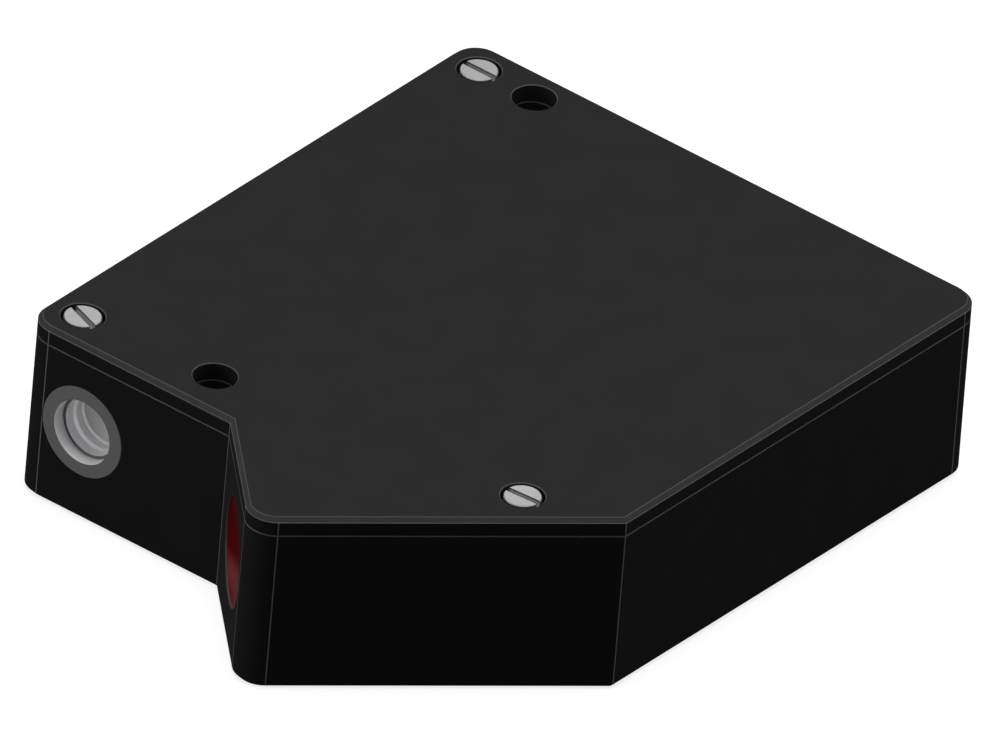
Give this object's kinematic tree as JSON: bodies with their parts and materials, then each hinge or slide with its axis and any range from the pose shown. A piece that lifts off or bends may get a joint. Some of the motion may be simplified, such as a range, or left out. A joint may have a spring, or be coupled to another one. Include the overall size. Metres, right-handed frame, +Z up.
{
  "type": "laser displacement sensor",
  "caption": "Flat black laser displacement sensor with a laser exit beside an angled red receiver window, a screwed cover and through holes for mounting.",
  "frame": {"origin": "on the flat base, midway between the axes of the two mounting holes", "axes": "+X the way the laser beam leaves, +Y from the laser's side wall towards the receiver, +Z up from the base through the cover"},
  "size_m": [0.0873, 0.065, 0.02],
  "materials": {
    "black_anodised": "black anodised, satin",
    "bright_steel": "turned, bright",
    "turned_aluminium": "turned, bright",
    "black_metal": "black, matt",
    "optical_glass": "polished and coated",
    "red_filter": "polished, dark red",
    "black_rubber": "moulded",
    "gold_metal": "gold plated",
    "nickel_metal": "nickel plated",
    "circuit_board": "solder mask",
    "chip_black": "moulded package",
    "connector_black": "moulded insert",
    "flex_amber": "polyimide film",
    "socket_white": "moulded"
  },
  "bodies": {
    "root": {"housing": "black_anodised", "cover": "black_anodised", "cover_seal": "black_rubber", "cover_screws": "bright_steel", "laser_barrel": "turned_aluminium", "barrel_seal": "black_rubber", "barrel_set_screw": "bright_steel", "lens_ring": "turned_aluminium", "collimator_lens": "optical_glass", "laser_diode": "gold_metal", "diode_retainer": "turned_aluminium", "laser_driver_board": "circuit_board", "laser_flex": "flex_amber", "receiver_window": "red_filter", "window_seal": "black_rubber", "receiver_barrel": "black_metal", "imaging_lens": "optical_glass", "imaging_lens_ring": "black_metal", "stray_light_stop": "black_metal", "receiver_clamp": "bright_steel", "clamp_screw": "bright_steel", "detector": "chip_black", "detector_board": "circuit_board", "detector_bracket": "black_metal", "detector_screws": "bright_steel", "bracket_screw": "bright_steel", "detector_flex": "flex_amber", "main_board": "circuit_board", "board_screws": "bright_steel", "signal_processor": "chip_black", "voltage_regulator": "chip_black", "capacitors": "turned_aluminium", "crystal": "bright_steel", "flex_sockets": "socket_white", "connector_shell": "nickel_metal", "connector_insert": "connector_black", "connector_pins": "gold_metal", "connector_nut": "nickel_metal", "connector_seal": "black_rubber", "connector_board": "circuit_board", "board_link": "connector_black"}
  },
  "joints": []
}
